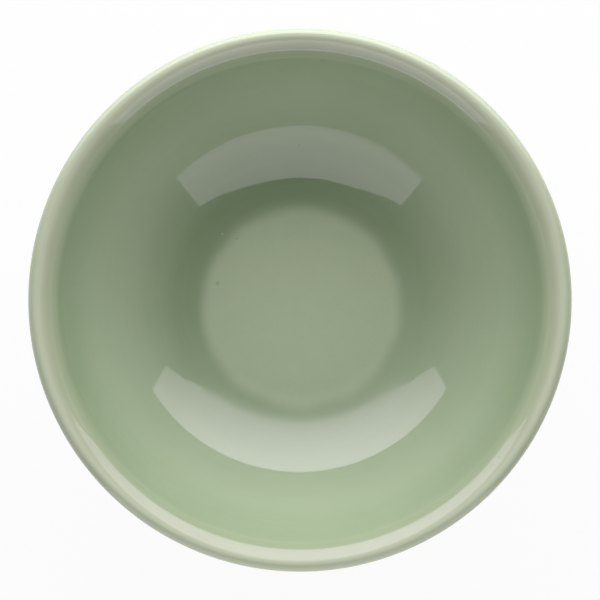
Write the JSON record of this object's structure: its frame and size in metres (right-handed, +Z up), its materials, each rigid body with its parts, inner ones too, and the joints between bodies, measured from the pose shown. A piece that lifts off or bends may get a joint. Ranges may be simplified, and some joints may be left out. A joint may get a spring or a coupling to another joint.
{
  "type": "rice bowl",
  "caption": "Small round stoneware bowl for rice, with a flat floor, curved walls opening to a rounded lip, and a turned foot ring; glazed sage green except where it stands.",
  "frame": {"origin": "centre of the foot ring's standing face, on the bowl's axis", "axes": "+Z up along the axis of the bowl, towards the mouth; X and Y are any two directions square to it, as the bowl is round"},
  "size_m": [0.13, 0.13, 0.05],
  "materials": {
    "stoneware": "bare fired clay, matt and slightly gritty, with fine turning lines",
    "celadon_glaze": "glossy sage-green glaze, satin on the floor, cream where it thins over the lip, darker green where it pools"
  },
  "bodies": {
    "root": {"clay_body": "stoneware", "inside_glaze": "celadon_glaze", "outside_glaze": "celadon_glaze", "underside_glaze": "celadon_glaze"}
  },
  "joints": []
}
